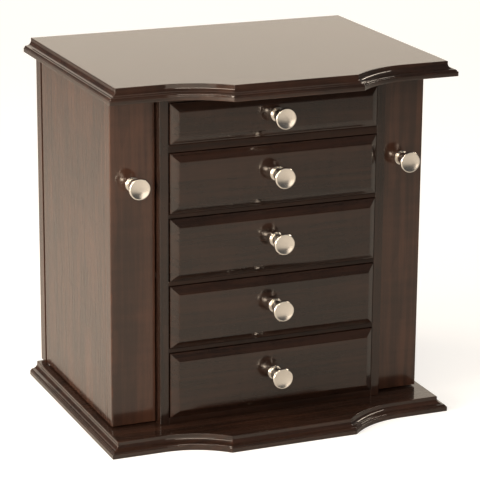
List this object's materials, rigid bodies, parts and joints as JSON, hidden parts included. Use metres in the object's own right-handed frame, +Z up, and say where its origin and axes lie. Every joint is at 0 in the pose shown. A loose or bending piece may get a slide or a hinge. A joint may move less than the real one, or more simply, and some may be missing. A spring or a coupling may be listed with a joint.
{
  "type": "jewellery chest with drawers",
  "caption": "Free-standing jewellery chest: bow-fronted moulded plates, raised-front drawers with round metal knobs, swing-out necklace doors at both sides.",
  "frame": {"origin": "centre of the footprint, on the underside of the base", "axes": "+X across the chest to the right as seen from the front, +Y to the back, +Z up"},
  "size_m": [0.48, 0.39, 0.482],
  "materials": {
    "stained_wood": "dark espresso stain under satin-gloss lacquer",
    "drawer_wood": "clear-coated maple, satin",
    "felt": "short-pile charcoal felt",
    "nickel": "brushed satin nickel",
    "hook_metal": "polished brass",
    "zinc_steel": "bright zinc"
  },
  "bodies": {
    "carcass": {"base_plate": "stained_wood", "top_plate": "stained_wood", "back_board": "stained_wood", "partition_left": "stained_wood", "partition_right": "stained_wood", "end_rails": "stained_wood", "shelf_1": "stained_wood", "shelf_2": "stained_wood", "shelf_3": "stained_wood", "shelf_4": "stained_wood", "drawer_stops": "drawer_wood", "assembly_screws": "zinc_steel", "pivot_pins": "zinc_steel", "catch_magnets": "nickel"},
    "drawer_1": {"drawer_1_front": "stained_wood", "drawer_1_box": "drawer_wood", "drawer_1_bottom": "drawer_wood", "drawer_1_lining": "felt", "drawer_1_knob": "nickel", "drawer_1_knob_screw": "zinc_steel", "ring_rolls": "felt"},
    "drawer_2": {"drawer_2_front": "stained_wood", "drawer_2_box": "drawer_wood", "drawer_2_bottom": "drawer_wood", "drawer_2_lining": "felt", "drawer_2_knob": "nickel", "drawer_2_knob_screw": "zinc_steel", "drawer_2_divider": "drawer_wood"},
    "drawer_3": {"drawer_3_front": "stained_wood", "drawer_3_box": "drawer_wood", "drawer_3_bottom": "drawer_wood", "drawer_3_lining": "felt", "drawer_3_knob": "nickel", "drawer_3_knob_screw": "zinc_steel"},
    "drawer_4": {"drawer_4_front": "stained_wood", "drawer_4_box": "drawer_wood", "drawer_4_bottom": "drawer_wood", "drawer_4_lining": "felt", "drawer_4_knob": "nickel", "drawer_4_knob_screw": "zinc_steel"},
    "drawer_5": {"drawer_5_front": "stained_wood", "drawer_5_box": "drawer_wood", "drawer_5_bottom": "drawer_wood", "drawer_5_lining": "felt", "drawer_5_knob": "nickel", "drawer_5_knob_screw": "zinc_steel"},
    "left_door": {"left_door_strip": "stained_wood", "left_door_panel": "stained_wood", "left_door_hooks": "hook_metal", "left_door_tray": "stained_wood", "left_door_knob": "nickel", "left_door_knob_screw": "zinc_steel", "left_door_strike": "zinc_steel"},
    "right_door": {"right_door_strip": "stained_wood", "right_door_panel": "stained_wood", "right_door_hooks": "hook_metal", "right_door_tray": "stained_wood", "right_door_knob": "nickel", "right_door_knob_screw": "zinc_steel", "right_door_strike": "zinc_steel"}
  },
  "joints": [
    {"name": "drawer_1_slide", "type": "slide", "parent": "carcass", "child": "drawer_1", "axis": [0, -1, 0], "range_m": [0, 0.2]},
    {"name": "drawer_2_slide", "type": "slide", "parent": "carcass", "child": "drawer_2", "axis": [0, -1, 0], "range_m": [0, 0.2]},
    {"name": "drawer_3_slide", "type": "slide", "parent": "carcass", "child": "drawer_3", "axis": [0, -1, 0], "range_m": [0, 0.2]},
    {"name": "drawer_4_slide", "type": "slide", "parent": "carcass", "child": "drawer_4", "axis": [0, -1, 0], "range_m": [0, 0.2]},
    {"name": "drawer_5_slide", "type": "slide", "parent": "carcass", "child": "drawer_5", "axis": [0, -1, 0], "range_m": [0, 0.2]},
    {"name": "left_door_hinge", "type": "hinge", "parent": "carcass", "child": "left_door", "pos_m": [-0.214, 0.1692, 0.019], "axis": [0, 0, -1], "range_deg": [0, 90]},
    {"name": "right_door_hinge", "type": "hinge", "parent": "carcass", "child": "right_door", "pos_m": [0.214, 0.1692, 0.019], "axis": [0, 0, 1], "range_deg": [0, 90]}
  ]
}
